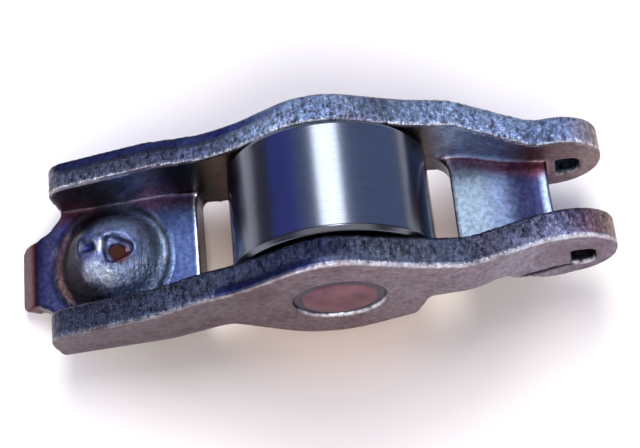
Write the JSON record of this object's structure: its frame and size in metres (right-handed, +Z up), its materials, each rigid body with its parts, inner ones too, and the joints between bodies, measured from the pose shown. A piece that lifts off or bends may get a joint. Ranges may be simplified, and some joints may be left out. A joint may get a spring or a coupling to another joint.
{
  "type": "rocker arm",
  "caption": "Pressed-steel roller finger rocker arm with a domed pivot socket, a needle-bearing roller on a staked pin, and two guide ears over the valve pad.",
  "frame": {"origin": "centre of the roller, on its axis, halfway between the cheeks", "axes": "+X towards the valve end, +Y along the roller's axis, +Z up to the camshaft; the arm lies as it comes to rest on a table, on its roller and the tip of its tongue"},
  "size_m": [0.0528, 0.0164, 0.0175],
  "materials": {
    "arm_steel": "satin",
    "pin_steel": "satin",
    "roller_steel": "polished",
    "needle_steel": "polished"
  },
  "bodies": {
    "arm": {"arm_body": "arm_steel", "roller_pin": "pin_steel"},
    "roller": {"roller": "roller_steel"},
    "needle_row": {"needle_01": "needle_steel", "needle_02": "needle_steel", "needle_03": "needle_steel", "needle_04": "needle_steel", "needle_05": "needle_steel", "needle_06": "needle_steel", "needle_07": "needle_steel", "needle_08": "needle_steel", "needle_09": "needle_steel", "needle_10": "needle_steel", "needle_11": "needle_steel", "needle_12": "needle_steel", "needle_13": "needle_steel", "needle_14": "needle_steel", "needle_15": "needle_steel", "needle_16": "needle_steel", "needle_17": "needle_steel"}
  },
  "joints": [
    {"name": "roller_spin", "type": "hinge", "parent": "arm", "child": "roller", "pos_m": [0, 0, 0], "axis": [0, 1, 0], "continuous": true},
    {"name": "needle_orbit", "type": "hinge", "parent": "arm", "child": "needle_row", "pos_m": [0, 0, 0], "axis": [0, 1, 0], "continuous": true}
  ],
  "couplings": [
    {"joint": "needle_orbit", "follows": "roller_spin", "ratio": 0.591}
  ]
}
